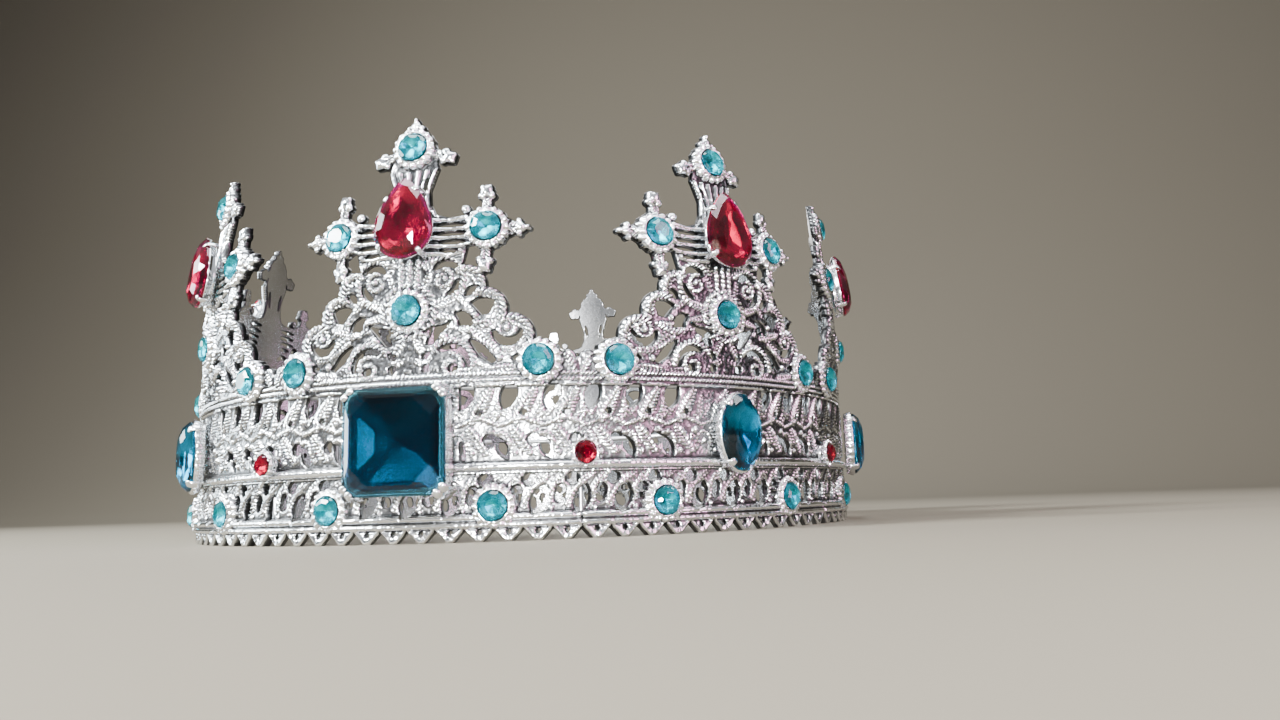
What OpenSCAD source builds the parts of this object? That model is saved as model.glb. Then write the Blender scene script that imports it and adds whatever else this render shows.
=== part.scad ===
// Full-round crown: eight cast filigree plates in a ring, each topped by a cross-shaped point,
// set with claw-held centre stones, drop stones and small round stones.
// Millimetres. +Z is up, the front is -Y, z = 0 is where the bottom teeth rest.

/* [Ring] */
// Outside radius of the band plates
band_radius = 80; // [76:0.5:88]
// Thickness of the cast plates
plate_thick = 1.4; // [1:0.1:2]
// Height of the top edge of the band above the tooth tips
band_top = 28.4; // [27.5:0.1:29.5]
// Width of a solder seam between two plates, in degrees
seam_angle = 0.4; // [0.2:0.1:0.8]

/* [Rails] */
// How far the smooth rails stand out from the band
rail_out = 0.9; // [0.5:0.1:1.4]
// Height of the middle rail's centre line
mid_rail_z = 13.2; // [12.8:0.1:13.6]

/* [Teeth] */
// Number of teeth along the lower edge of one plate
teeth = 12; // [10:1:14]
// Radius of the small hole in each tooth
tooth_hole = 0.55; // [0.4:0.05:0.7]

/* [Points] */
// Height where the points begin to lean inwards
lean_start = 50; // [46:1:54]
// Lean of the upper part of a point, in degrees
lean = 6.4; // [3:0.1:9]
// Height of the centre of the cross arms
arm_z = 57.6; // [57:0.1:58.2]
// Distance of the arm stones from the middle of the point
arm_x = 14.7; // [14.2:0.1:15.2]
// Height of the top stone
top_z = 74.6; // [74:0.1:75.2]

/* [Stones] */
// Side of the square stones
square_side = 19; // [18:0.2:19.8]
// Length of the oval stones
oval_len = 15; // [14:0.5:16]
// Width of the oval stones
oval_wide = 9.6; // [9:0.2:10.4]
// Width of the drop stones
drop_wide = 11.6; // [10.8:0.2:12]
// Radius of the small round stones
round_r = 2.7; // [2.4:0.1:2.9]
// Radius of the red round stones
red_r = 2; // [1.7:0.1:2.2]

/* [Hidden] */
step_a = 45;
plate_a = step_a - seam_angle;
inner_r = band_radius - plate_thick;
deg = 180 / PI;
drop_r = drop_wide / 2;
drop_tip = drop_r * 1.78;
drop_z = arm_z - 0.6;
big_z = 17.9;
tip_z = 81;
cup_h = 1.5;
stone_seat = 0.35;
gem_back = 1.3;
tooth_z = 2.4;
band_cup_z = 6.3;
band_cup_a = 11.4;
red_a = 23.6;
red_z = 15.3;
square_lift = 1.8;
square_places = [0, 180];
oval_places = [45, 90, 135, 225, 270, 315];
pitch = band_radius * step_a / deg / 8;

// Angle on the ring of a distance along the band, and its straight width across a plate
function ang(u) = u / band_radius * deg;
function across(u) = band_radius * sin(ang(u));
// Outside radius of a point at a height
function out_r(z) = band_radius - max(0, z - lean_start) * tan(lean);

// Puts a piece on the outside of the ring, its local z pointing outwards
module at(a, z, r = band_radius, tilt = 0)
  rotate([0, 0, a]) translate([0, -r, z]) rotate([90 - tilt, 0, 0]) children();

// Leaf-shaped outline, long along y
module leaf(len, wide) {
  r = (len * len + wide * wide) / (4 * wide);
  intersection() {
    translate([r - wide / 2, 0]) circle(r, $fn = 60);
    translate([wide / 2 - r, 0]) circle(r, $fn = 60);
  }
}

// Part of a ring between two angles
module arc_slot(r, a0, a1, wide) intersection() {
  difference() {
    circle(r + wide / 2, $fn = 48);
    circle(r - wide / 2, $fn = 48);
  }
  polygon([[0, 0], for (i = [0 : 4]) let (a = a0 + (a1 - a0) * i / 4) 2 * r * [cos(a), sin(a)]]);
}

// Round cup with a toothed rim, cut for its stone
module cup_body(rs, n = 12) linear_extrude(cup_h + 0.7)
  polygon([for (i = [0 : 2 * n - 1])
    (rs + (i % 2 == 0 ? 1.62 : 1.25)) * [cos(180 * i / n), sin(180 * i / n)]]);
module cup_cut(rs) {
  translate([0, 0, 0.7 + stone_seat]) cylinder(r = rs + 0.05, h = 5, $fn = 48);
  translate([-0.9, -0.9, -5]) cube([1.8, 1.8, 10]);
}

// Round stone: pavilion, girdle and crown
module round_gem(rs) {
  translate([0, 0, stone_seat + 0.02]) cylinder(r1 = rs * 0.55, r2 = rs, h = 0.9, $fn = 48);
  translate([0, 0, stone_seat + 0.92]) cylinder(r = rs, h = 0.25, $fn = 48);
  translate([0, 0, stone_seat + 1.17]) cylinder(r1 = rs, r2 = rs * 0.6, h = 0.75, $fn = 48);
}

// Wall, rails and lower edge of the band in cross-section
module band_profile() {
  translate([inner_r, tooth_z - 0.2]) square([plate_thick, band_top - tooth_z + 0.2]);
  for (z = [2.9, 4.25]) translate([band_radius + rail_out - 0.75, z]) circle(0.75, $fn = 32);
  translate([band_radius + rail_out - 0.95, mid_rail_z]) circle(0.95, $fn = 32);
  translate([band_radius, 2.2]) square([0.2, 2.7]);
  translate([band_radius - 0.05, band_top - 0.6]) circle(0.4, $fn = 24);
}

// One pointed tooth with its round hole
module tooth() difference() {
  linear_extrude(1.1) polygon([[-2.35, 2.6], [2.35, 2.6], [1.2, 1.0], [0.5, 0], [-0.5, 0],
    [-1.2, 1.0]]);
  translate([0, 1.5, -1]) cylinder(r = tooth_hole, h = 4, $fn = 24);
}

// One opening of the band at a distance along it and a height
module band_cut(u, z, turn = 0) if (abs(u) < 29.6)
  at(ang(u), z, inner_r - 2) linear_extrude(6) rotate(turn) children();

// Slanted leaf openings, slots and round openings, one set to each pitch
module band_holes() for (k = [-5 : 5]) {
  u = k * pitch + 0.15;
  if (abs(abs(u) - 15.92) > 3) band_cut(u, 7.1, -24) leaf(5.2, 2.9);
  band_cut(u + 3.75, 8.1, -12) {
    square([1.5, 1.4], center = true);
    for (s = [-1, 1]) translate([0, s * 0.7]) circle(0.75, $fn = 28);
  }
  band_cut(u + 6.1, 10.8) circle(0.95, $fn = 28);
  if (abs(u + 2.6) > 11.4) band_cut(u + 2.6, 25.7, -22) leaf(4.7, 2.7);
  if (abs(u + 1.4) > 11.4) band_cut(u + 1.4, 16.4, 28) leaf(3.6, 1.7);
  if (abs(u - 0.9) > 11.2) band_cut(u - 0.9, 17.9) circle(0.95, $fn = 28);
  if (abs(u + 5.3) > 11) band_cut(u + 5.3, 22.9) circle(0.42, $fn = 24);
}

// Places a child at both cups of one band plate
module band_cups() for (s = [-1, 1])
  at(s * band_cup_a, band_cup_z, band_radius - 0.7) children();

// One band plate: pierced wall with rails, toothed edge and cups
module band_plate(k) rotate([0, 0, (k - 1) * step_a]) difference() {
  union() {
    difference() {
      union() {
        rotate([0, 0, -90 - plate_a / 2]) rotate_extrude(angle = plate_a, $fn = 180) band_profile();
        for (i = [0 : teeth - 1])
          at((i + 0.5 - teeth / 2) * plate_a / teeth, 0, inner_r + 0.15) tooth();
      }
      band_holes();
    }
    band_cups() cup_body(round_r - 0.2);
  }
  band_cups() cup_cut(round_r - 0.2);
  at(0, big_z, inner_r - 2) translate([-1.6, -1.6, 0]) cube([3.2, 3.2, 6]);
}

// Lobe of the cross: a disc for its cup, a pointed tip along +y and two trefoil side tips
module lobe(tip_len, side_a, side_len) {
  circle(round_r + 1.45, $fn = 48);
  polygon([[2.7, 2.5], [1.5, 4.6], [0.75, tip_len], [-0.75, tip_len], [-1.5, 4.6], [-2.7, 2.5]]);
  translate([0, tip_len - 0.5]) circle(1.15, $fn = 24);
  translate([0, tip_len + 0.75]) circle(0.62, $fn = 24);
  for (q = [-1, 1]) translate([q * 1.25, tip_len - 0.9]) circle(0.7, $fn = 24);
  for (s = [-1, 1]) rotate(s * side_a) {
    polygon([[1.9, 2.5], [1.05, 4.6], [0.95, side_len], [-0.95, side_len], [-1.05, 4.6], [-1.9, 2.5]]);
    translate([0, side_len + 0.35]) circle(1.25, $fn = 24);
    for (q = [-1, 1]) {
      translate([q * 1.05, side_len - 0.45]) circle(0.95, $fn = 24);
      translate([q * 0.75, side_len + 0.9]) circle(0.55, $fn = 24);
    }
  }
}

// Right-hand half of a point, then both halves
module half_point() {
  translate([0, band_top]) square([across(31.25), 4.6]);
  for (p = [[24.4, 32.3, 3.95], [19.2, 37.1, 4.3], [14.5, 42.2, 4.1], [11, 46.9, 3.75],
    [29.4, 32.9, 1.5]])
    translate([across(p[0]), p[1]]) circle(p[2], $fn = 48);
  polygon([[0, band_top], [across(24.4), band_top], [across(24.4), 32], [14, 43], [10, 50],
    [11, 54.4], [across(arm_x), 55], [across(arm_x), 60.2], [11, 60.6], [4.6, 61.1], [3.7, 63],
    [3.4, 66], [4.9, 70.5], [4.4, 72.5], [0, 73]]);
  translate([across(arm_x), arm_z]) rotate(-90) lobe(6.8, 93, 7.2);
  translate([10.8, 61.2]) circle(1.1, $fn = 24);
}
module point_outline() {
  half_point();
  mirror([1, 0]) half_point();
  translate([0, top_z]) lobe(5.3, 107, 7);
}

// Pierced openings of one half of a point: crescents, fans, slots and round holes
module half_openings() {
  translate([7.1, 48.3]) arc_slot(2.75, 48, 136, 0.8);
  translate([6.2, 48]) arc_slot(3.15, -62, -10, 0.65);
  translate([11.7, 45.7]) rotate(-50) leaf(2.4, 1);
  polygon([[11.9, 43.4], [13, 44], [14.2, 44.1], [15.3, 43.9], [16, 43.5], [15.1, 41.5], [13.8, 41.2]]);
  polygon([[8.9, 41.6], [10, 41.8], [11.2, 41.1], [11.8, 40.2], [12, 39.3], [9.7, 39.4], [9.5, 40.4]]);
  polygon([[3.4, 38.3], [4.4, 38.8], [6.4, 39.2], [7.8, 39.8], [6.4, 38.3], [5.5, 37.2], [4.6, 36.2],
    [3.5, 36.1], [4, 37.6]]);
  translate([18.4, 38.6]) arc_slot(2.6, -158, -20, 1.05);
  polygon([[11.6, 36.4], [13, 35.8], [14.3, 34.8], [16.1, 32.5], [15.4, 32.2], [13.3, 33.6],
    [12.4, 34.9]]);
  translate([7.8, 31.9]) arc_slot(3.35, 2, 116, 0.75);
  for (p = [[8.4, 31.4], [3.3, 31.5]]) translate(p) circle(0.6, $fn = 24);
  translate([3.3, 33.9]) rotate(-50) leaf(1.5, 0.8);
  translate([11.95, 51.9]) leaf(2, 0.8);
  for (p = [[9.3, 54.5, 3.6, 108], [8, 53.2, 2.6, 104], [7.9, 59.8, 4.6, 92], [7.9, 57.2, 4.8, 92],
    [2.55, 66.4, 3.8, 8]])
    translate([p[0], p[1]]) rotate(-p[3]) leaf(p[2], 0.62);
}

// Thin shell the point is cut from: upright, then leaning inwards
module point_shell() rotate([0, 0, -90 - plate_a / 2]) rotate_extrude(angle = plate_a, $fn = 180)
  polygon([[inner_r, band_top], [band_radius, band_top], [band_radius, lean_start],
    [out_r(tip_z + 1), tip_z + 1], [out_r(tip_z + 1) - plate_thick, tip_z + 1],
    [inner_r, lean_start]]);

// Places a child at every cup of one point: top, arms, middle and shoulders
module cup_spots() {
  at(0, top_z, out_r(top_z) - 0.6, lean) children();
  for (s = [-1, 1]) {
    at(s * ang(arm_x), arm_z, out_r(arm_z) - 0.6, lean) children();
    at(s * ang(24.4), 32.3, band_radius - 0.7) children();
  }
  at(0, 42.2, band_radius - 0.7) children();
}

// One point: pierced plate with its cups
module point_plate(k) rotate([0, 0, (k - 1) * step_a]) difference() {
  union() {
    intersection() {
      point_shell();
      rotate([90, 0, 0]) linear_extrude(band_radius + 2) difference() {
        point_outline();
        half_openings();
        mirror([1, 0]) half_openings();
      }
    }
    cup_spots() cup_body(round_r);
  }
  cup_spots() cup_cut(round_r);
  at(0, drop_z + 1, inner_r - 4) translate([-1.5, -1.5, 0]) cube([3, 3, 8]);
}

// Outline of the drop, point up: round below, narrowing to the point above
function drop_pt(t, g = 0) = let (k = max(0, sin(t)))
  [(drop_r + g) * cos(t) * (1 - 0.46 * pow(k, 1.9)), (sin(t) > 0 ? drop_tip + g : drop_r + g) * sin(t)];
module drop_shape(g = 0) polygon([for (i = [0 : 23]) drop_pt(15 * i, g)]);

// Drop stone with a sloping crown
module drop_gem() {
  linear_extrude(1.2) drop_shape(-0.5);
  translate([0, 0, 1.2]) linear_extrude(0.5) drop_shape();
  translate([0, 0, 1.7]) linear_extrude(1.9, scale = 0.58) drop_shape();
}

// Claw that rises beside a stone and folds over its edge
module claw(h, wide = 1.3) {
  translate([-wide / 2, 0.06, 0]) cube([wide, 0.7, h]);
  translate([-wide / 2, -0.8, h - 0.02]) cube([wide, 1.56, 0.55]);
}

// Drop setting: base tray and four claws
module drop_setting() {
  linear_extrude(0.5) drop_shape(0.5);
  difference() {
    linear_extrude(gem_back) drop_shape(0.5);
    translate([0, 0, 0.5]) linear_extrude(3) drop_shape(-0.1);
  }
  for (s = [-1, 1]) {
    translate([s * drop_pt(30)[0], drop_pt(30)[1]]) rotate(-s * 63) claw(3.75, 1.1);
    rotate(s * 128) translate([0, drop_r]) claw(3.75, 1.1);
  }
}

// Square stone with cut corners: sloping crown above a straight girdle
module square_gem() {
  s = square_side / 2;
  intersection() {
    rotate(45) linear_extrude(4.6) square(2 * s * 1.21, center = true);
    rotate([90, 0, 0]) translate([0, 0, -s])
      linear_extrude(2 * s) square_side_cut(s);
    rotate([90, 0, 90]) translate([0, 0, -s]) linear_extrude(2 * s) square_side_cut(s);
  }
}
module square_side_cut(s) polygon([[-s * 0.72, 0], [s * 0.72, 0], [s, 2], [s, 2.6],
  [s * 0.62, 4.6], [-s * 0.62, 4.6], [-s, 2.6], [-s, 2]]);

// Square outline with its corners cut off
module cut_square(side) intersection() {
  square(side, center = true);
  rotate(45) square(side * 1.21, center = true);
}

// Square setting: open basket with a ledge for the stone, gallery windows and four corner claws
module square_setting() {
  s = square_side / 2;
  difference() {
    linear_extrude(3.6 + square_lift) cut_square(2 * s + 0.9);
    translate([0, 0, 0.6]) linear_extrude(square_lift + 0.1) cut_square(2 * s - 6.4);
    translate([0, 0, 0.6 + square_lift]) linear_extrude(5) cut_square(2 * s + 0.1);
    for (a = [0, 90]) rotate([90, 0, a]) translate([0, 1.2 + square_lift, -20])
      linear_extrude(40) square([square_side * 0.55, 1.8], center = true);
    translate([-1.6, -1.6, -1]) cube([3.2, 3.2, 3]);
  }
  for (a = [45 : 90 : 315]) rotate(a) translate([0, s * 1.21 + 0.03]) claw(4.4 + square_lift, 2.6);
}

// Oval stone and its setting
module oval_shape(g = 0) polygon([for (i = [0 : 31])
  [(oval_wide / 2 + g) * cos(11.25 * i), (oval_len / 2 + g) * sin(11.25 * i)]]);
module oval_gem() {
  linear_extrude(1.4) oval_shape(-0.6);
  translate([0, 0, 1.4]) linear_extrude(0.6) oval_shape();
  translate([0, 0, 2]) linear_extrude(2, scale = 0.62) oval_shape();
}
module oval_setting() {
  difference() {
    linear_extrude(2.1) oval_shape(0.5);
    translate([0, 0, 0.6]) linear_extrude(3) oval_shape(0.08);
    translate([-1.6, -1.6, -1]) cube([3.2, 3.2, 3]);
  }
  for (sx = [-1, 1], sy = [-1, 1])
    translate([sx * oval_wide * 0.36, sy * oval_len * 0.36])
      rotate(sy > 0 ? -sx * 44 : 180 + sx * 44) translate([0, 0.1]) claw(3.25);
}

module square_settings() color("silver") for (a = square_places)
  at(a, big_z, band_radius + 1.0) square_setting();
module square_stones() color("darkcyan") for (a = square_places)
  at(a, big_z, band_radius + 1.65 + square_lift) square_gem();
module oval_settings() color("silver") for (a = oval_places)
  at(a, big_z + 0.8, band_radius + 1.0) oval_setting();
module oval_stones() color("teal") for (a = oval_places)
  at(a, big_z + 0.8, band_radius + 1.65) oval_gem();
module drop_settings() color("silver") for (k = [0 : 7])
  at(k * step_a, drop_z, out_r(drop_z) + 0.65, lean) drop_setting();
module drop_stones() color("crimson") for (k = [0 : 7])
  at(k * step_a, drop_z, out_r(drop_z) + 0.65, lean) translate([0, 0, gem_back + 0.05]) drop_gem();
module top_stones() color("turquoise") for (k = [0 : 7])
  at(k * step_a, top_z, out_r(top_z) + 0.1, lean) round_gem(round_r);
module arm_stones() color("turquoise") for (k = [0 : 7], s = [-1, 1])
  at(k * step_a + s * ang(arm_x), arm_z, out_r(arm_z) + 0.1, lean) round_gem(round_r);
module middle_stones() color("turquoise") for (k = [0 : 7])
  at(k * step_a, 42.2, band_radius) round_gem(round_r);
module shoulder_stones() color("turquoise") for (k = [0 : 7], s = [-1, 1])
  at(k * step_a + s * ang(24.4), 32.3, band_radius) round_gem(round_r);
module band_stones() color("turquoise") for (k = [0 : 7], s = [-1, 1])
  at(k * step_a + s * band_cup_a, band_cup_z, band_radius) round_gem(round_r - 0.2);
module red_stones() color("crimson") for (k = [0 : 7])
  at(k * step_a + red_a, red_z, band_radius + 1.05) round_gem(red_r);

// Small cups on posts, one over each joint between two band plates
module red_cups() color("silver") for (k = [0 : 7])
  at(k * step_a + red_a, red_z, band_radius) difference() {
    union() {
      translate([0, 1.1, 0.06]) cylinder(r = 1.65, h = 1.2, $fn = 40);
      translate([0, 0, 0.98]) linear_extrude(1.25) polygon([for (i = [0 : 23])
        (red_r + (i % 2 == 0 ? 0.8 : 0.5)) * [cos(15 * i), sin(15 * i)]]);
    }
    translate([0, 0, 1.05 + stone_seat]) cylinder(r = red_r + 0.05, h = 5, $fn = 48);
  }

// Solder that fills the narrow gap between two neighbouring plates
module seam_solder() color("gainsboro") for (k = [0 : 7])
  rotate([0, 0, k * step_a + 22.5 - 90 - seam_angle / 2])
    rotate_extrude(angle = seam_angle, $fn = 180)
      translate([inner_r, tooth_z]) square([plate_thick, 32.6 - tooth_z]);

// Solder bead behind the line where a point stands on its band plate
module base_solder() color("gainsboro") for (k = [0 : 7])
  rotate([0, 0, k * step_a - 90 - 18]) rotate_extrude(angle = 36, $fn = 180)
    polygon([[inner_r, band_top - 0.9], [inner_r, band_top + 0.9], [inner_r - 0.6, band_top + 0.35],
      [inner_r - 0.6, band_top - 0.35]]);

module band_1() color("silver") band_plate(1);
module band_2() color("silver") band_plate(2);
module band_3() color("silver") band_plate(3);
module band_4() color("silver") band_plate(4);
module band_5() color("silver") band_plate(5);
module band_6() color("silver") band_plate(6);
module band_7() color("silver") band_plate(7);
module band_8() color("silver") band_plate(8);
module point_1() color("silver") point_plate(1);
module point_2() color("silver") point_plate(2);
module point_3() color("silver") point_plate(3);
module point_4() color("silver") point_plate(4);
module point_5() color("silver") point_plate(5);
module point_6() color("silver") point_plate(6);
module point_7() color("silver") point_plate(7);
module point_8() color("silver") point_plate(8);

band_1();
band_2();
band_3();
band_4();
band_5();
band_6();
band_7();
band_8();
point_1();
point_2();
point_3();
point_4();
point_5();
point_6();
point_7();
point_8();
square_settings();
square_stones();
oval_settings();
oval_stones();
drop_settings();
drop_stones();
top_stones();
arm_stones();
middle_stones();
shoulder_stones();
band_stones();
red_cups();
red_stones();
seam_solder();
base_solder();
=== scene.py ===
"""Looks of the crown: cast filigree plates, claw settings and cut stones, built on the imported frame."""
import math

import bpy
import numpy as np
from mathutils import Matrix, Vector


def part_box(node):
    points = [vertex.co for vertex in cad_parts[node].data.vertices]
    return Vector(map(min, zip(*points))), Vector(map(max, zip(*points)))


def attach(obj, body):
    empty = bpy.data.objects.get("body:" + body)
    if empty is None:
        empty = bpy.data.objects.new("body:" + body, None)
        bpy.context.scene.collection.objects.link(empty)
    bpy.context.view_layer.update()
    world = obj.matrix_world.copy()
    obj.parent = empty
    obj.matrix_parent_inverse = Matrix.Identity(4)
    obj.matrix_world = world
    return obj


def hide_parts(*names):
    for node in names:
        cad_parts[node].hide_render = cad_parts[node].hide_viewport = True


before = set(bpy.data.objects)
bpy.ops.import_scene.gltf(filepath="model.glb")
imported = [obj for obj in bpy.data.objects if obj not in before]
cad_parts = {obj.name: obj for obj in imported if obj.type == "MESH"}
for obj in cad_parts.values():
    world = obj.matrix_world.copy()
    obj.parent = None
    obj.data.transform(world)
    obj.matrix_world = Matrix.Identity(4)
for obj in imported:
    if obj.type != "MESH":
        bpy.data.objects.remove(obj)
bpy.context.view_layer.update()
MM = 0.001
rng = np.random.default_rng(7)


def mid(node):
    """Middle of a CAD node's box, and its size, in millimetres."""
    lo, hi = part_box(node)
    return (np.array(lo) + np.array(hi)) / 2 / MM, (np.array(hi) - np.array(lo)) / MM


# ---- sizes taken from the frame, in millimetres -------------------------------------------------
PLATES = 8
STEP = 2 * math.pi / PLATES
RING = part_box("seam_solder")[1][0] / MM / math.cos(STEP / 2)
INNER = RING - 1.4
BAND_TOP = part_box("point_1")[0][2] / MM
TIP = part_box("point_1")[1][2] / MM
TOP_Z = mid("top_stones")[0][2]
ARM_Z = mid("arm_stones")[0][2]
LOW_Z = mid("middle_stones")[0][2]
SHO_Z = mid("shoulder_stones")[0][2]
CUP_Z = mid("band_stones")[0][2]
RED_Z = mid("red_stones")[0][2]
SQ_Z = mid("square_stones")[0][2]
OV_Z = mid("oval_stones")[0][2]
ROUND_R = mid("middle_stones")[1][2] / 2
BAND_R = mid("band_stones")[1][2] / 2
RED_R = mid("red_stones")[1][2] / 2
SQ = mid("square_stones")[1][2]
LEAN_Z, LEAN = 50.0, math.radians(6.4)
ARM_U, SHO_U, BAND_U = 14.78, 24.4, RING * math.radians(11.4)
RED_U = RING * math.radians(23.6)
OVAL = np.array([0.32, 0.5]) * mid("oval_stones")[1][2]
DROP_R = mid("drop_stones")[1][2] / 2.80
DROP_TIP = DROP_R * 1.78
PITCH = RING * STEP / 8
EDGE_U = RING * math.radians(22.47)     # half a plate's width along the ring
SKIN_IN = 0.62                          # how far the foot of the relief lies inside the ring's radius
SEAT_OUT = 1.15                         # from the floor of a cup to the widest part of its stone


# ---- shapes on the unrolled plate: u along the ring, z up ----------------------------------------
def disk(U, Z, u, z, r):
    return r - np.hypot(U - u, Z - z)


def box2(U, Z, u0, u1, z0, z1):
    return np.minimum(np.minimum(U - u0, u1 - U), np.minimum(Z - z0, z1 - Z))


def leaf2(U, Z, u, z, length, wide, turn):
    """Pointed leaf, its length turned clockwise from upright."""
    r = (length * length + wide * wide) / (4 * wide)
    c, s = math.cos(math.radians(turn)), math.sin(math.radians(turn))
    q, t = (U - u) * c - (Z - z) * s, (U - u) * s + (Z - z) * c
    return np.minimum(r - np.hypot(q - (r - wide / 2), t), r - np.hypot(q + (r - wide / 2), t))


def bar2(U, Z, u, z, length, wide, turn):
    """Round-ended slot."""
    c, s = math.cos(math.radians(turn)), math.sin(math.radians(turn))
    q, t = (U - u) * c - (Z - z) * s, (U - u) * s + (Z - z) * c
    return wide / 2 - np.hypot(q, np.maximum(np.abs(t) - (length - wide) / 2, 0))


def arc2(U, Z, u, z, r, a0, a1, wide, taper=0.0):
    """Part of a ring between two angles, in degrees from +u; taper thins its ends."""
    d = np.hypot(U - u, Z - z)
    a = np.degrees(np.arctan2(Z - z, U - u))
    m, h = (a0 + a1) / 2, (a1 - a0) / 2
    off = (a - m + 180) % 360 - 180
    k = np.clip(1 - (np.abs(off) / h) ** 2 * taper, 0.05, 1)
    return np.minimum(wide / 2 * k - np.abs(d - r), (h - np.abs(off)) * math.pi / 180 * r)


def poly2(U, Z, pts):
    """Signed distance to a polygon, positive inside."""
    p = np.array(pts, float)
    best, inside = np.full(U.shape, 1e9), np.zeros(U.shape, bool)
    for a, b in zip(p, np.roll(p, -1, axis=0)):
        e = b - a
        t = np.clip(((U - a[0]) * e[0] + (Z - a[1]) * e[1]) / max(e @ e, 1e-9), 0, 1)
        best = np.minimum(best, np.hypot(U - a[0] - t * e[0], Z - a[1] - t * e[1]))
        if a[1] != b[1]:
            hit = (a[1] > Z) != (b[1] > Z)
            inside ^= hit & (U < (b[0] - a[0]) * (Z - a[1]) / (b[1] - a[1]) + a[0])
    return np.where(inside, best, -best)


class Relief:
    """Solid area F (positive inside) and front height H over a grid, in millimetres."""

    def __init__(self, u0, u1, z0, z1, cell):
        nu, nz = int(round((u1 - u0) / cell)) + 1, int(round((z1 - z0) / cell)) + 1
        self.U, self.Z = np.meshgrid(np.linspace(u0, u1, nu), np.linspace(z0, z1, nz), indexing="ij")
        self.F = np.full(self.U.shape, -1e3)
        self.H = np.zeros(self.U.shape)

    def add(self, s):
        self.F = np.maximum(self.F, s)

    def cut(self, s, grow=0.22):
        self.F = np.minimum(self.F, -s - grow)

    def up(self, h):
        self.H = np.maximum(self.H, h)

    def bead(self, u, z, r, h):
        d = np.hypot(self.U - u, self.Z - z) / r
        self.up(np.where(d < 1, h * np.sqrt(np.clip(1 - d * d, 0, 1)), 0))

    def leaf(self, u0, z0, u1, z1, wide, h, rib=0.78, slant=0.8, vein=0.4, blunt=0.75):
        """Ribbed leaf from stem to point."""
        du, dz = u1 - u0, z1 - z0
        n = math.hypot(du, dz)
        du, dz = du / n, dz / n
        t = (self.U - u0) * du + (self.Z - z0) * dz
        q = (self.U - u0) * dz - (self.Z - z0) * du
        x = np.clip(t / n, 0, 1)
        w = wide / 2 * np.sin(math.pi * x ** blunt) ** 0.7 + 1e-6
        k = np.clip(1 - (q / w) ** 2, 0, 1) ** 0.5
        ribs = 0.67 + 0.33 * np.cos(2 * math.pi * (t - slant * np.abs(q)) / rib)
        v = 1 - vein * np.exp(-((q / 0.2) ** 2))
        self.up(np.where((t > 0) & (t < n), h * k * ribs * v, 0))

    def rope(self, u, z, r, a0, a1, wide, h, pitch=0.8, depth=0.3, twist=0.9):
        """Twisted cord along an arc."""
        d = np.hypot(self.U - u, self.Z - z) - r
        a = np.degrees(np.arctan2(self.Z - z, self.U - u))
        m, half = (a0 + a1) / 2, (a1 - a0) / 2
        off = (a - m + 180) % 360 - 180
        s = np.radians(off) * r
        k = np.sqrt(np.clip(1 - (2 * d / wide) ** 2, 0, 1))
        tw = (1 - depth) + depth * np.cos(2 * math.pi * (s + twist * d) / pitch)
        self.up(np.where((np.abs(off) < half) & (np.abs(d) < wide / 2), h * k * tw, 0))

    def cord(self, pts, wide, h, pitch=0.8, depth=0.28, taper=0.0, twist=0.9):
        """Twisted cord along a line of points."""
        p = np.array(pts, float)
        best, along, side = np.full(self.U.shape, 1e9), np.zeros(self.U.shape), np.zeros(self.U.shape)
        run = 0.0
        for a, b in zip(p[:-1], p[1:]):
            e = b - a
            n = math.hypot(*e)
            t = np.clip(((self.U - a[0]) * e[0] + (self.Z - a[1]) * e[1]) / (n * n), 0, 1)
            q = np.hypot(self.U - a[0] - t * e[0], self.Z - a[1] - t * e[1])
            sg = np.sign((self.U - a[0]) * e[1] - (self.Z - a[1]) * e[0])
            near = q < best
            best, along = np.where(near, q, best), np.where(near, run + t * n, along)
            side = np.where(near, sg * q, side)
            run += n
        w = wide * (1 - taper * along / run)
        k = np.sqrt(np.clip(1 - (2 * best / w) ** 2, 0, 1))
        tw = (1 - depth) + depth * np.cos(2 * math.pi * (along + twist * side) / pitch) if pitch else 1
        self.up(np.where(best < w / 2, h * k * tw, 0))

    def scroll(self, u, z, r, turn, way=1, turns=1.25, wide=0.8, h=0.95, pitch=0.75):
        """C-scroll that winds inwards to a small bead."""
        n = 26
        a = math.radians(turn) + way * np.linspace(0, turns * 2 * math.pi, n)
        rr = r * (1 - 0.72 * np.linspace(0, 1, n))
        self.cord(np.stack([u + rr * np.cos(a), z + rr * np.sin(a)], 1), wide, h, pitch, taper=0.35)
        self.bead(u + rr[-1] * math.cos(a[-1]), z + rr[-1] * math.sin(a[-1]), 0.55, h)

    def cup(self, u, z, rs, h=2.05, n=16):
        """Round cup: a plain bezel inside a ring of small pointed beads; its floor sits under the stone."""
        d = np.hypot(self.U - u, self.Z - z)
        a = np.arctan2(self.Z - z, self.U - u)
        edge = rs + 1.30 + 0.34 * np.abs(np.cos(n * a / 2)) ** 1.5
        self.add(edge - d)
        t = (d - rs - 0.18) / 0.46
        bezel = h * np.sqrt(np.clip(1 - (2 * t - 1) ** 2 * 0.6, 0, 1))
        bead = np.hypot(d - rs - 1.02, (((a * n / (2 * math.pi) + 0.5) % 1) - 0.5) * 2 * math.pi * d / n)
        bump = 0.62 * h + 0.24 * h * np.sqrt(np.clip(1 - (bead / 0.55) ** 2, 0, 1))
        wall = np.where(t < 0, 0.75, np.where(t < 1, bezel, bump))
        self.H = np.where(d < edge, np.where(t < 1, wall, np.maximum(self.H * 0.7, wall)), self.H)

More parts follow.
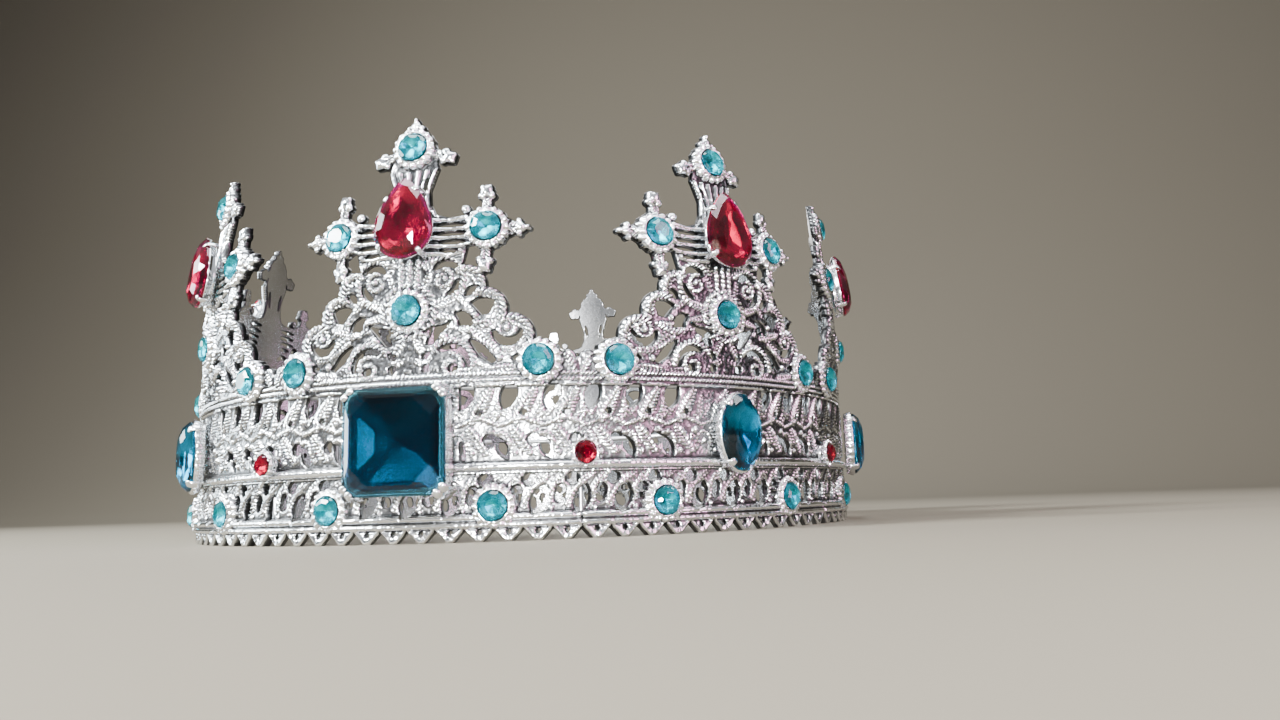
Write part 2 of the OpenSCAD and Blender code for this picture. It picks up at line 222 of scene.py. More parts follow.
    def noise(self, amp, size, seed):
        g = np.random.default_rng(seed)
        nu, nz = self.U.shape
        k = max(1, int(size))
        c = g.normal(size=(nu // k + 3, nz // k + 3))
        x, y = np.arange(nu) / k, np.arange(nz) / k
        i, j = x.astype(int), y.astype(int)
        fx, fy = (x - i)[:, None], (y - j)[None]
        fx, fy = fx * fx * (3 - 2 * fx), fy * fy * (3 - 2 * fy)
        v = (c[i][:, j] * (1 - fx) * (1 - fy) + c[i + 1][:, j] * fx * (1 - fy)
             + c[i][:, j + 1] * (1 - fx) * fy + c[i + 1][:, j + 1] * fx * fy)
        self.H = self.H + amp * v

    def mesh(self, back, lean=False):
        """Closed shell: relief in front, flat back, walls round every edge."""
        U, Z, F, H = self.U, self.Z, self.F, self.H
        cell = U[1, 0] - U[0, 0]
        avg = (F[:-1, :-1] + F[1:, :-1] + F[:-1, 1:] + F[1:, 1:]) / 4
        on = avg > 0
        pad = np.pad(on, 1)
        cnt = pad[:-1, :-1].astype(int) + pad[1:, :-1] + pad[:-1, 1:] + pad[1:, 1:]
        used, rim = cnt > 0, (cnt > 0) & (cnt < 4)
        gu, gz = np.gradient(F, cell)
        g2 = np.clip(gu * gu + gz * gz, 0.05, None)
        step = np.clip(F / g2, -0.75 * cell, 0.75 * cell)
        u = np.where(rim, U - step * gu, U)
        z = np.where(rim, Z - step * gz, Z)
        near = np.clip(F / 0.34, 0, 1)
        drop = np.sqrt(np.clip(1 - (1 - near) ** 2, 0, 1))
        h = H * (0.45 + 0.55 * drop)
        ids = np.full(U.shape, -1)
        ids[used] = np.arange(used.sum())
        n = int(used.sum())
        zz, uu, hh = z[used], u[used], h[used]
        base = RING - np.where(zz > LEAN_Z, zz - LEAN_Z, 0) * math.tan(LEAN) if lean else RING
        x0 = RING * np.sin(uu / RING)
        # crest value per vertex, low in the recesses and lowest at the back rims; the plating turns it into painted
        # shade
        soft = np.pad(h, 4, mode="edge")
        for ax in (0, 1):
            soft = sum(np.roll(soft, d, ax) for d in range(-4, 5)) / 9
        shade_crest = 0.42 + 0.95 * (h - soft[4:-4, 4:-4]) + 0.28 * (h - 0.6)
        shade_crest = np.concatenate([np.clip(shade_crest, 0, 1)[used], np.where(rim[used], 0.1, 0.5)])
        out = []
        for r in (base - SKIN_IN + hh, base - (RING - back)):
            y = -np.sqrt(np.clip(r * r - x0 * x0, 1, None))
            out.append(np.stack([x0 + 0 * r, y, zz], 1))
        v = np.concatenate(out)
        i, j = np.nonzero(on)
        a, b, c, d = ids[i, j], ids[i + 1, j], ids[i + 1, j + 1], ids[i, j + 1]
        front = np.stack([a, b, c, d], 1)
        rear = np.stack([d, c, b, a], 1) + n
        walls = []
        for di, dj, p, q in ((-1, 0, 3, 0), (1, 0, 1, 2), (0, -1, 0, 1), (0, 1, 2, 3)):
            out_cell = ~pad[i + 1 + di, j + 1 + dj]
            f = front[out_cell]
            walls.append(np.stack([f[:, q], f[:, p], f[:, p] + n, f[:, q] + n], 1))
        return v, np.concatenate([front, rear] + walls), shade_crest


# ---- turning arrays into objects -----------------------------------------------------------------
def turned(v, k):
    c, s = math.cos(k * STEP), math.sin(k * STEP)
    return np.stack([v[:, 0] * c - v[:, 1] * s, v[:, 0] * s + v[:, 1] * c, v[:, 2]], 1)


def make(name, v, faces, mat, nodes=(), smooth=True, shade_crest=None):
    """Object from points in millimetres and faces; all quads when faces is an array."""
    me = bpy.data.meshes.new(name)
    if isinstance(faces, np.ndarray):
        me.vertices.add(len(v))
        me.vertices.foreach_set("co", (v * MM).astype(np.float32).ravel())
        me.loops.add(faces.size)
        me.loops.foreach_set("vertex_index", faces.astype(np.int32).ravel())
        me.polygons.add(len(faces))
        me.polygons.foreach_set("loop_start", np.arange(0, faces.size, faces.shape[1], dtype=np.int32))
        me.update(calc_edges=True)
        me.validate()
    else:
        me.from_pydata((v * MM).tolist(), [], [list(map(int, f)) for f in faces])
        me.update()
    me.polygons.foreach_set("use_smooth", np.full(len(me.polygons), smooth))
    # per-vertex values for the painted shade in the plating's recesses
    if shade_crest is not None:
        me.attributes.new("ShadeCrest", "FLOAT", "POINT").data.foreach_set("value", shade_crest.astype(np.float32))
    ob = bpy.data.objects.new(name, me)
    bpy.context.scene.collection.objects.link(ob)
    me.materials.append(mat)
    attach(ob, "root")
    if nodes:
        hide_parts(*nodes)
    return ob


class Parts:
    """Collects small pieces, each with its own placing, into one mesh."""

    def __init__(self):
        self.v, self.f, self.n = [], [], 0

    def put(self, v, f, place=None):
        v = np.asarray(v, float)
        if place is not None:
            m = np.array(place)
            v = v @ m[:3, :3].T + m[:3, 3]
        self.v.append(v)
        self.f += [tuple(i + self.n for i in q) for q in f]
        self.n += len(v)

    def object(self, name, mat, slot, nodes=(), smooth=False):
        return make(name, np.concatenate(self.v), self.f, mat, nodes, smooth)


def spot(u, z, r, lean=0.0, k=0):
    """Placing on the ring: local z points outwards, local y up."""
    x = RING * math.sin(u / RING)
    y = -math.sqrt(r * r - x * x)
    b = math.atan2(x, -y) + k * STEP
    rr = math.hypot(x, y)
    m = Matrix.Rotation(b, 4, "Z") @ Matrix.Translation((0, -rr, z))
    return m @ Matrix.Rotation(math.pi / 2 - lean, 4, "X")


def lean_r(z):
    return RING - max(0.0, z - LEAN_Z) * math.tan(LEAN)


# ---- materials -----------------------------------------------------------------------------------
def nodes_of(name):
    m = bpy.data.materials.new(name)
    m.use_nodes = True
    nt = m.node_tree
    p = nt.nodes["Principled BSDF"]
    return m, nt, p


def metal(name, color, rough, bump=0.25, scale=900.0, tarnish=0.35, recess_shade=()):
    """Bright plating with a slightly uneven surface, with painted shade that darkens its colour in the recesses."""
    m, nt, p = nodes_of(name)
    p.inputs["Metallic"].default_value = 1.0
    co = nt.nodes.new("ShaderNodeTexCoord")
    n1 = nt.nodes.new("ShaderNodeTexNoise")
    n1.inputs["Scale"].default_value = scale
    n1.inputs["Detail"].default_value = 4.0
    nt.links.new(co.outputs["Object"], n1.inputs["Vector"])
    n2 = nt.nodes.new("ShaderNodeTexNoise")
    n2.inputs["Scale"].default_value = scale * 0.12
    n2.inputs["Detail"].default_value = 3.0
    nt.links.new(co.outputs["Object"], n2.inputs["Vector"])
    ramp = nt.nodes.new("ShaderNodeValToRGB")
    ramp.color_ramp.elements[0].position = 0.3
    ramp.color_ramp.elements[0].color = (*[c * (1 - 0.25 * tarnish) for c in color], 1)
    ramp.color_ramp.elements[1].position = 0.62
    ramp.color_ramp.elements[1].color = (*color, 1)
    nt.links.new(n2.outputs["Fac"], ramp.inputs["Fac"])
    mr = nt.nodes.new("ShaderNodeMapRange")
    mr.inputs["To Min"].default_value = rough * 0.7
    mr.inputs["To Max"].default_value = rough * 1.4
    nt.links.new(n2.outputs["Fac"], mr.inputs["Value"])
    # painted shade in the recesses: the base colour is multiplied by a ramp that falls to near black where the
    # relief lies low, and the recesses are also rougher
    if recess_shade:
        at = nt.nodes.new("ShaderNodeAttribute")
        at.attribute_name = "ShadeCrest"
        # ramp of painted shade, from near black in the deepest recesses to the full plating colour on the crests
        dark = nt.nodes.new("ShaderNodeValToRGB")
        stops = ((0.10, 0.03), (0.33, recess_shade[0]), (0.48, recess_shade[1]), (0.58, 1.0))
        while len(dark.color_ramp.elements) < len(stops):
            dark.color_ramp.elements.new(0.5)
        for e, (pos, c) in zip(dark.color_ramp.elements, stops):
            e.position, e.color = pos, (c, c, c * 1.01, 1)
        nt.links.new(at.outputs["Fac"], dark.inputs["Fac"])
        mx = nt.nodes.new("ShaderNodeMixRGB")
        mx.blend_type = "MULTIPLY"
        mx.inputs["Fac"].default_value = 1.0
        nt.links.new(ramp.outputs["Color"], mx.inputs["Color1"])
        nt.links.new(dark.outputs["Color"], mx.inputs["Color2"])
        nt.links.new(mx.outputs["Color"], p.inputs["Base Color"])
        ro = nt.nodes.new("ShaderNodeMapRange")
        ro.inputs["From Min"].default_value = 0.1
        ro.inputs["From Max"].default_value = 0.6
        ro.inputs["To Min"].default_value = 0.25
        ro.inputs["To Max"].default_value = 0.0
        nt.links.new(at.outputs["Fac"], ro.inputs["Value"])
        ad = nt.nodes.new("ShaderNodeMath")
        nt.links.new(mr.outputs["Result"], ad.inputs[0])
        nt.links.new(ro.outputs["Result"], ad.inputs[1])
        nt.links.new(ad.outputs["Value"], p.inputs["Roughness"])
    else:
        nt.links.new(ramp.outputs["Color"], p.inputs["Base Color"])
        nt.links.new(mr.outputs["Result"], p.inputs["Roughness"])
    bp = nt.nodes.new("ShaderNodeBump")
    bp.inputs["Strength"].default_value = bump
    bp.inputs["Distance"].default_value = 0.00012
    nt.links.new(n1.outputs["Fac"], bp.inputs["Height"])
    nt.links.new(bp.outputs["Normal"], p.inputs["Normal"])
    return m


def gem_glass(name, color, ior=1.42, rough=0.0):
    m, nt, p = nodes_of(name)
    p.inputs["Base Color"].default_value = (*color, 1)
    p.inputs["Roughness"].default_value = rough
    p.inputs["IOR"].default_value = ior
    p.inputs["Transmission Weight"].default_value = 1.0
    return m


def foil(name, color, rough=0.12, dark=0.35, scale=260.0, glow=0.0):
    """Coloured mirror foil behind a stone; glow stands for light scattered inside the stone."""
    m, nt, p = nodes_of(name)
    p.inputs["Metallic"].default_value = 1.0
    p.inputs["Roughness"].default_value = rough
    co = nt.nodes.new("ShaderNodeTexCoord")
    n = nt.nodes.new("ShaderNodeTexNoise")
    p.inputs["Emission Color"].default_value = (*color, 1)
    p.inputs["Emission Strength"].default_value = glow
    n.inputs["Scale"].default_value = scale
    nt.links.new(co.outputs["Object"], n.inputs["Vector"])
    ramp = nt.nodes.new("ShaderNodeValToRGB")
    ramp.color_ramp.elements[0].position = 0.35
    ramp.color_ramp.elements[0].color = (*[c * dark for c in color], 1)
    ramp.color_ramp.elements[1].position = 0.65
    ramp.color_ramp.elements[1].color = (*color, 1)
    nt.links.new(n.outputs["Fac"], ramp.inputs["Fac"])
    nt.links.new(ramp.outputs["Color"], p.inputs["Base Color"])
    return m


# the recess pairs set how dark the painted shade in the plates' recesses goes
band_metal = metal("BandPlating", (0.955, 0.98, 1.0), 0.12, 0.3, recess_shade=(0.16, 0.74))
point_metal = metal("PointPlating", (0.94, 0.97, 1.0), 0.12, 0.3, recess_shade=(0.08, 0.56))
claw_metal = metal("SettingPlating", (0.94, 0.96, 0.98), 0.14, 0.2)
solder_metal = metal("Solder", (0.55, 0.56, 0.58), 0.34, 0.6, 500.0)

# ---- band plates ---------------------------------------------------------------------------------
TEETH = 12
CELL = 0.2


def band_relief():
    edge = EDGE_U
    g = Relief(-edge, edge, -0.1, BAND_TOP, 2 * edge / round(2 * edge / CELL))
    U, Z = g.U, g.Z
    g.add(box2(U, Z, -edge - 1, edge + 1, 2.25, BAND_TOP + 1))
    tp = 2 * edge / TEETH
    local = (U + edge) % tp - tp / 2
    side = (0.62 + 0.95 * Z - np.abs(local)) * 0.72
    tooth = np.minimum(np.minimum(side, Z), 2.6 - Z)
    g.add(np.maximum(tooth, 0.72 - np.hypot(local, Z - 0.72)))
    g.cut(0.45 - np.hypot(local, Z - 1.7), 0.0)
    g.H[:] = 0.42
    # toothed edge: raised rim along the slanting sides and round the tip
    g.up(np.where(Z < 2.5, 0.98 * np.sqrt(np.clip(1 - ((side - 0.42) / 0.42) ** 2, 0, 1)), 0))
    g.up(np.where(Z < 1.2, 1.0 * np.sqrt(np.clip(1 - (local / 0.75) ** 2, 0, 1)), 0))
    g.up(np.where(Z < 2.3, 0.82, 0))
    # ribbed leaves and scrolls of the lower and upper bands, one set to each pitch
    for k in range(-5, 6):
        u = k * PITCH + 0.15
        g.leaf(u + 0.6, 5.2, u + 4.4, 12.1, 2.3, 1.05)
        g.leaf(u + 4.6, 5.0, u + 7.0, 9.6, 1.7, 0.95)
        g.leaf(u - 1.2, 9.6, u + 3.0, 12.2, 1.6, 0.85)
        g.scroll(u + 6.1, 10.8, 1.75, 200, -1, 0.9, 0.75, 1.0)
        g.bead(u + 2.2, 5.5, 0.5, 0.95)
        g.bead(u + 4.9, 11.6, 0.5, 1.0)
        w = u + 2.6
        g.leaf(w + 0.9, 20.9, w + 5.3, 28.0, 3.3, 1.15)
        g.leaf(w - 1.6, 21.8, w + 0.6, 24.6, 1.6, 0.85)
        g.leaf(w + 6.4, 23.2, w + 3.7, 20.6, 1.9, 0.95)
        g.leaf(w + 0.3, 20.4, w + 4.2, 14.9, 2.7, 1.1, slant=-0.8)
        g.leaf(w + 5.4, 20.6, w + 3.4, 17.2, 1.5, 0.9)
        g.scroll(w - 1.7, 17.7, 1.9, -20, 1, 0.95, 0.75, 1.0)
        wave = ((-3.6, 21.3), (-1.6, 20.5), (0.4, 21.2), (2.4, 22.0), (4.25, 21.3))
        g.cord([(w + x, z) for x, z in wave], 0.9, 1.0, 0.7)
        g.bead(w + 4.6, 19.4, 0.62, 1.05)
        g.leaf(w + 2.4, 21.6, w + 1.6, 24.4, 1.3, 0.9)
        g.leaf(w + 5.6, 22.0, w + 6.6, 26.6, 1.5, 0.95)
        g.leaf(w - 0.6, 15.0, w + 1.6, 18.4, 1.5, 0.85)
        g.leaf(w + 3.2, 15.1, w + 5.6, 16.6, 1.2, 0.85)
        g.bead(w + 1.2, 15.6, 0.55, 0.95)
        g.bead(w + 2.0, 18.9, 0.5, 0.95)
    # plain rails, each with a soft groove
    for zc, wide, h in ((2.95, 1.15, 1.35), (4.3, 1.35, 1.55), (13.2, 1.7, 1.5)):
        k = np.clip(1 - ((Z - zc) / (wide / 2)) ** 2, 0, 1)
        g.H = np.where(k > 0, np.maximum(0.5 * g.H, h * (0.35 + 0.65 * np.sqrt(k))), g.H)
    g.up(np.where(np.abs(Z - 12.15) < 0.16, 0.9, 0))
    g.up(np.where(np.abs(Z - 27.95) < 0.42, 1.0 * np.sqrt(np.clip(1 - ((Z - 27.95) / 0.42) ** 2, 0, 1)), 0))
    g.noise(0.035, 2, 3)
    g.noise(0.03, 5, 4)
    # openings; the upper band stays closed behind the big stone
    behind = np.abs(U) <= 9.6
    for k in range(-5, 6):
        u = k * PITCH + 0.15
        if abs(abs(u) - BAND_U) > 3:
            g.cut(leaf2(U, Z, u, 7.1, 5.2, 2.9, 24))
        g.cut(bar2(U, Z, u + 3.75, 8.1, 2.9, 1.5, 12))
        g.cut(bar2(U, Z, u + 6.1, 10.8, 2.1, 1.75, 60))
        w = u + 2.6
        for shape in (leaf2(U, Z, w, 26.0, 5.0, 2.7, 22), leaf2(U, Z, w - 1.2, 16.4, 3.9, 1.7, -28),
                      disk(U, Z, w - 3.5, 17.9, 0.95), disk(U, Z, w + 2.7, 22.9, 0.42)):
            g.cut(np.where(behind, -9, shape))
    for s in (-1, 1):
        g.cup(s * BAND_U, CUP_Z, BAND_R)
    return g


band_v, band_f, band_c = band_relief().mesh(INNER)
for k in range(PLATES):
    make(f"BandPlate{k + 1}", turned(band_v, k), band_f, band_metal,
         [f"band_{k + 1}"], shade_crest=band_c)


# ---- points --------------------------------------------------------------------------------------
# curved openings of the triangle that are neither leaves nor arcs
POCKETS = (
    [(11.9, 43.4), (13.0, 44.0), (14.2, 44.1), (15.3, 43.9), (16.0, 43.5), (15.1, 41.5), (13.8, 41.2)],
    [(8.9, 41.6), (10.0, 41.8), (11.2, 41.1), (11.8, 40.2), (12.0, 39.3), (9.7, 39.4), (9.5, 40.4)],
    [(3.2, 38.4), (4.4, 39.0), (6.4, 39.3), (8.0, 40.0), (6.4, 38.3), (5.5, 37.2), (4.6, 36.2), (3.5, 36.1),
     (4.0, 37.6)],
    [(11.6, 36.4), (13.0, 35.8), (14.3, 34.8), (16.1, 32.5), (15.4, 32.2), (13.3, 33.6), (12.4, 34.9)])


def point_relief():
    edge = EDGE_U
    g = Relief(-edge, edge, BAND_TOP, TIP + 0.3, CELL)
    U, Z = g.U, g.Z
    A = np.abs(U)
    g.H[:] = 0.42
    # outline
    g.add(box2(U, Z, -edge - 1, edge + 1, BAND_TOP - 1, 33.0))
    scallops = ((SHO_U, SHO_Z, 3.95), (19.2, 37.1, 4.3), (14.5, 42.2, 4.1), (11.0, 46.9, 3.75))
    for u, z, r in scallops:
        g.add(disk(A, Z, u, z, r))
    g.add(disk(A, Z, 29.4, 32.9, 1.5))
    g.add(poly2(A, Z, [(-1, BAND_TOP - 1), (SHO_U, BAND_TOP - 1), (SHO_U, 32), (14, 43), (10, 50), (11, 54.4),
                       (ARM_U, 55), (ARM_U, 60.2), (11, 60.5), (7.6, 60.1), (4.6, 61.0), (3.7, 63), (3.4, 66),
                       (4.9, 70.5), (4.4, 72.5), (-1, 73)]))

    def lobe(u, z, out, side, fwd, stretch):
        """Cross end: a disc for its cup, a pointed tip along out and two trefoil side tips."""
        for sg in (1,) if u == 0 else (1, -1):
            uu = sg * u
            g.add(disk(U, Z, uu, z, ROUND_R + 1.45))
            for turn, length in ((0, fwd), (side, stretch), (-side, stretch)):
                a = math.radians(out + turn)
                c, s = math.sin(a) * sg, math.cos(a)

                def at(d, q=0.0):
                    return uu + c * d + s * q, z + s * d - c * q

                def neck(*half):
                    g.add(poly2(U, Z, [at(d, q) for d, q in half] + [at(d, -q) for d, q in reversed(half)]))

                if turn == 0:
                    neck((2.5, 2.7), (4.6, 1.5), (fwd, 0.75))
                    for d, r in ((length - 0.5, 1.15), (length + 0.75, 0.62)):
                        g.add(disk(U, Z, *at(d), r))
                        g.bead(*at(d), r, 1.35)
                    for q in (-1, 1):
                        g.add(disk(U, Z, *at(length - 0.9, q * 1.25), 0.7))
                        g.bead(*at(length - 0.9, q * 1.25), 0.72, 1.1)
                    g.leaf(*at(3.2), *at(length), 2.6, 1.3, 0.62)
                else:
                    neck((2.5, 1.9), (4.6, 1.05), (length - 0.6, 0.95))
                    for d, q, r, h in ((0.3, 0, 1.4, 1.35), (-0.7, 0.9, 0.9, 1.15), (-0.7, -0.9, 0.9, 1.15),
                                       (1.05, 0.65, 0.62, 1.05), (1.05, -0.65, 0.62, 1.05)):
                        g.add(disk(U, Z, *at(length + d, q), r))
                        g.bead(*at(length + d, q), r, h)
                    g.leaf(*at(3.2), *at(length + 0.4), 2.3, 1.25, 0.6)

    lobe(0, TOP_Z, 0, 107, 5.3, 7.0)
    lobe(ARM_U, ARM_Z, 90, 93, 6.8, 7.2)
    # scallop rims: twisted cord with fine cross ribs inside
    for u, z, r in scallops:
        for s in (1, -1):
            m = 48 if s > 0 else 132
            g.rope(s * u, z, r - 0.8, m - 80, m + 80, 1.65, 1.3, 1.0, 0.42)
            g.rope(s * u, z, r - 2.0, m - 70, m + 70, 0.85, 0.95, 0.8, 0.4, -0.9)
    for s in (1, -1):
        g.scroll(s * 8.0, 31.9, 2.4, 90, -s, 1.1, 1.0, 1.1, 0.9)
        g.rope(s * 7.8, 31.9, 4.45, *((-5, 150) if s > 0 else (30, 185)), 1.5, 1.25, 1.0, 0.42)
        g.scroll(s * 6.5, 48.0, 2.0, 80, -s, 1.2, 0.95, 1.15, 0.85)
        g.rope(s * 6.5, 48.1, 3.95, *((-75, 150) if s > 0 else (30, 255)), 1.35, 1.2, 0.95, 0.42)
        g.leaf(s * 3.0, 42.6, s * 10.6, 44.9, 2.2, 1.1, 0.7)
        g.leaf(s * 3.0, 41.8, s * 9.2, 40.6, 1.9, 1.05, 0.7)
        g.leaf(s * 1.0, 38.8, s * 8.9, 37.0, 2.2, 0.9)
        g.leaf(s * 9.6, 38.4, s * 16.4, 39.8, 2.6, 1.1)
        g.leaf(s * 11.6, 38.2, s * 17.4, 34.2, 2.4, 1.05)
        g.leaf(s * 14.2, 30.6, s * 22.0, 31.4, 2.2, 1.0)
        g.leaf(s * 16.0, 34.4, s * 21.2, 34.6, 1.8, 0.9)
        g.leaf(s * 30.9, 30.0, s * 28.6, 34.0, 1.8, 1.05)
        g.rope(s * 18.4, 38.4, 1.5, -180, 180, 0.8, 0.95, 0.7)
        g.leaf(s * 0.8, 37.4, s * 3.4, 33.0, 1.9, 1.0)
        g.leaf(s * 0.6, 33.4, s * 5.4, 30.9, 1.5, 0.9)
        g.leaf(s * 9.0, 30.7, s * 14.4, 30.7, 1.4, 0.9)
        g.leaf(s * 11.4, 33.6, s * 14.6, 31.0, 1.5, 0.9)
        g.leaf(s * 13.4, 38.4, s * 15.6, 36.4, 1.4, 0.9)
        g.leaf(s * 8.4, 45.4, s * 11.6, 42.6, 1.6, 1.0)
        g.leaf(s * 6.8, 39.9, s * 9.3, 38.6, 1.4, 0.95)
        g.leaf(s * 2.6, 45.4, s * 4.2, 50.2, 1.5, 1.0)
        g.leaf(s * 2.2, 51.6, s * 6.8, 52.6, 1.5, 1.0)
        g.leaf(s * 21.6, 30.3, s * 28.6, 30.4, 1.6, 0.95)
        g.bead(s * 16.9, 32.9, 0.7, 1.0)
        g.bead(s * 12.6, 40.9, 0.6, 1.0)
        g.bead(s * 18.4, 38.4, 0.75, 1.1)
        g.bead(s * 6.6, 37.2, 1.0, 1.05)
        g.bead(s * 5.4, 38.4, 0.55, 0.9)
        g.bead(s * 10.6, 61.6, 1.0, 1.2)
        g.add(disk(U, Z, s * 10.6, 61.6, 0.95))
        for z0, z1, z2, x in ((59.7, 59.4, 60.0, 10.8), (57.9, 57.7, 57.9, 11.2), (56.2, 55.95, 56.2, 11.2),
                              (54.6, 54.2, 54.7, 11.2), (53.0, 52.7, 53.3, 9.8)):
            g.cord([(s * 3.5, z0), (s * 7.2, z1), (s * x, z2)], 1.2, 1.25, None)
        g.leaf(s * 12.6, 55.2, s * 14.4, 50.4, 2.6, 1.2, 0.6)
        for x in (3.1, 1.9, 0.7):
            g.cord([(s * x, 60.5), (s * x * 0.95, 65.5), (s * x * 1.45, 69.9)], 0.95, 1.15, None)
        g.rope(0, ARM_Z - 1.0, 6.3, -180, 180, 0.9, 0.9)
    # twisted collar and shell round the middle stone, ribbed bar above it
    g.rope(0, LOW_Z, 4.95, -180, 180, 1.35, 1.3, 1.05, 0.45)
    for a in range(-60, 61, 24):
        c, s = math.cos(math.radians(a)), math.sin(math.radians(a))
        g.leaf(0.5 * s, 41.0 - 0.5 * c, 5.0 * s, 40.6 - 4.6 * c, 1.5, 1.1, 0.7)
    for x in (-1.5, 0, 1.5):
        g.cord([(x, 45.6), (x * 1.1, 51.8)], 1.1, 1.1, 0.9)
    # base strip: two twisted cords
    for z, w, h in ((28.95, 0.8, 0.95), (30.0, 0.9, 0.9)):
        g.cord([(-edge, z), (edge, z)], w, h, 0.8)
    g.noise(0.035, 2, 13)
    g.noise(0.03, 5, 14)
    # openings
    for s in (1, -1):
        S = U * s
        g.cut(arc2(S, Z, 7.1, 48.3, 2.75, 42, 142, 0.95, 0.7))
        g.cut(arc2(S, Z, 6.2, 48.0, 3.15, -66, -6, 0.75, 0.6))
        g.cut(leaf2(S, Z, 11.7, 45.7, 2.4, 1.0, 50))
        for pts in POCKETS:
            g.cut(poly2(S, Z, pts))
        g.cut(arc2(S, Z, 18.4, 38.6, 2.6, -165, -12, 1.25, 0.75))
        g.cut(arc2(S, Z, 7.8, 31.9, 3.35, -4, 122, 0.85, 0.5))
        g.cut(disk(S, Z, 3.3, 31.5, 0.6))
        g.cut(disk(S, Z, 8.4, 31.4, 0.6))
        g.cut(leaf2(S, Z, 3.3, 33.9, 1.5, 0.8, 50))
        g.cut(leaf2(S, Z, 20.2, 32.9, 1.7, 0.7, 90))
        g.cut(leaf2(S, Z, 11.95, 51.9, 2.0, 0.8, 0))
        for u, z, n, turn in ((8.3, 55.1, 4.6, 92), (7.6, 53.4, 3.0, 94), (7.9, 58.55, 5.2, 91),
                              (7.9, 56.8, 5.2, 91)):
            g.cut(leaf2(S, Z, u, z, n, 0.62, turn))
        g.cut(leaf2(S, Z, 2.55, 66.4, 3.8, 0.62, 8))
    g.cup(0, TOP_Z, ROUND_R)
    for s in (1, -1):
        g.cup(s * ARM_U, ARM_Z, ROUND_R)
        g.cup(s * SHO_U, SHO_Z, ROUND_R, 1.9)
    g.cup(0, LOW_Z, ROUND_R, 1.9)
    g.F = np.minimum(g.F, U + edge)
    return g


pt_v, pt_f, pt_c = point_relief().mesh(INNER, lean=True)
for k in range(PLATES):
    make(f"PointPlate{k + 1}", turned(pt_v, k), pt_f, point_metal,
         [f"point_{k + 1}"], shade_crest=pt_c)


# ---- stones --------------------------------------------------------------------------------------
def rings_mesh(rings, top=True, bottom=True):
    """Faceted body from rings of points, bottom to top; rings may differ in count by a factor of two."""
    v, f, start = [], [], []
    for r in rings:
        start.append(len(v))
        v += [tuple(p) for p in r]
    for (a, ra), (b, rb) in zip(zip(start, rings), zip(start[1:], rings[1:])):
        na, nb = len(ra), len(rb)
        if na == nb:
            f += [(a + i, a + (i + 1) % na, b + (i + 1) % nb, b + i) for i in range(na)]
        elif na == 2 * nb:
            for i in range(nb):
                j = 2 * i
                f += [(a + j, a + (j + 1) % na, b + i), (a + (j + 1) % na, b + (i + 1) % nb, b + i),
                      (a + (j + 1) % na, a + (j + 2) % na, b + (i + 1) % nb)]
        elif nb == 2 * na:
            for i in range(na):
                j = 2 * i
                f += [(a + i, b + (j + 1) % nb, b + j), (a + i, a + (i + 1) % na, b + (j + 1) % nb),
                      (a + (i + 1) % na, b + (j + 2) % nb, b + (j + 1) % nb)]
    if top:
        f.append(tuple(start[-1] + i for i in range(len(rings[-1]))))
    if bottom:
        f.append(tuple(start[0] + i for i in reversed(range(len(rings[0])))))
    return np.array(v), f


def loop(shape, n, scale, z, off=0.0):
    return [(*(shape(2 * math.pi * (i + off) / n) * scale), z) for i in range(n)]


def circle_shape(r):
    return lambda t: np.array([r * math.cos(t), r * math.sin(t)])


def oval_shape(a, b):
    return lambda t: np.array([a * math.cos(t), b * math.sin(t)])


def drop_shape(r, tip):
    """Drop with its point on +y."""
    def f(t):
        x, y = math.cos(t), math.sin(t)
        return np.array([r * x * (1 - 0.46 * max(0.0, y) ** 1.9), (tip if y > 0 else r) * y])
    return f


def square_shape(h, cut=0.15):
    """Square with cut corners."""
    def f(t):
        x, y = math.cos(t), math.sin(t)
        return np.array([x, y]) * h / max(abs(x), abs(y), (abs(x) + abs(y)) / (2 - cut))
    return f


def eight(h, z, cut=0.15):
    """The same square as its eight corners."""
    c = h * (1 - cut)
    return [(x, y, z) for x, y in ((h, -c), (h, c), (c, h), (-c, h), (-h, c), (-h, -c), (-c, -h), (c, -h))]


def stone(shape, n, crown, girdle, pav, table):
    """Cut stone: crown in two rows of facets, girdle, and a pavilion to a small culet."""
    rings = [loop(shape, n // 2, 0.12, -pav, 0.0), loop(shape, n // 2, 0.62, -pav * 0.52, 0.0),
             loop(shape, n, 1.0, 0), loop(shape, n, 1.0, girdle),
             loop(shape, n // 2, 0.84, girdle + crown * 0.62, 0.25),
             loop(shape, n // 2, table, girdle + crown, 0.25)]
    return rings_mesh(rings)


def gem(name, glass, back, *finish):
    return gem_glass(name + "Glass", glass), foil(name + "Foil", back, *finish)


gem_mats = {
    "deep_teal_stone": gem("DeepTeal", (0.08, 0.38, 0.50), (0.006, 0.065, 0.105), 0.22, 0.35, 60, 0.04),
    "teal_stone": gem("Teal", (0.09, 0.76, 0.93), (0.006, 0.42, 0.64), 0.12, 0.10, 160, 0.01),
    "red_stone": gem("Red", (0.78, 0.010, 0.27), (0.52, 0.002, 0.13), 0.16, 0.2, 180, 0.015),
    "aqua_stone": gem("Aqua", (0.13, 0.93, 1.0), (0.02, 0.84, 0.96), 0.20, 0.35, 500, 0.05),
    "small_red_stone": gem("SmallRed", (0.80, 0.012, 0.24), (0.54, 0.004, 0.12), 0.18, 0.3, 400, 0.04),
}


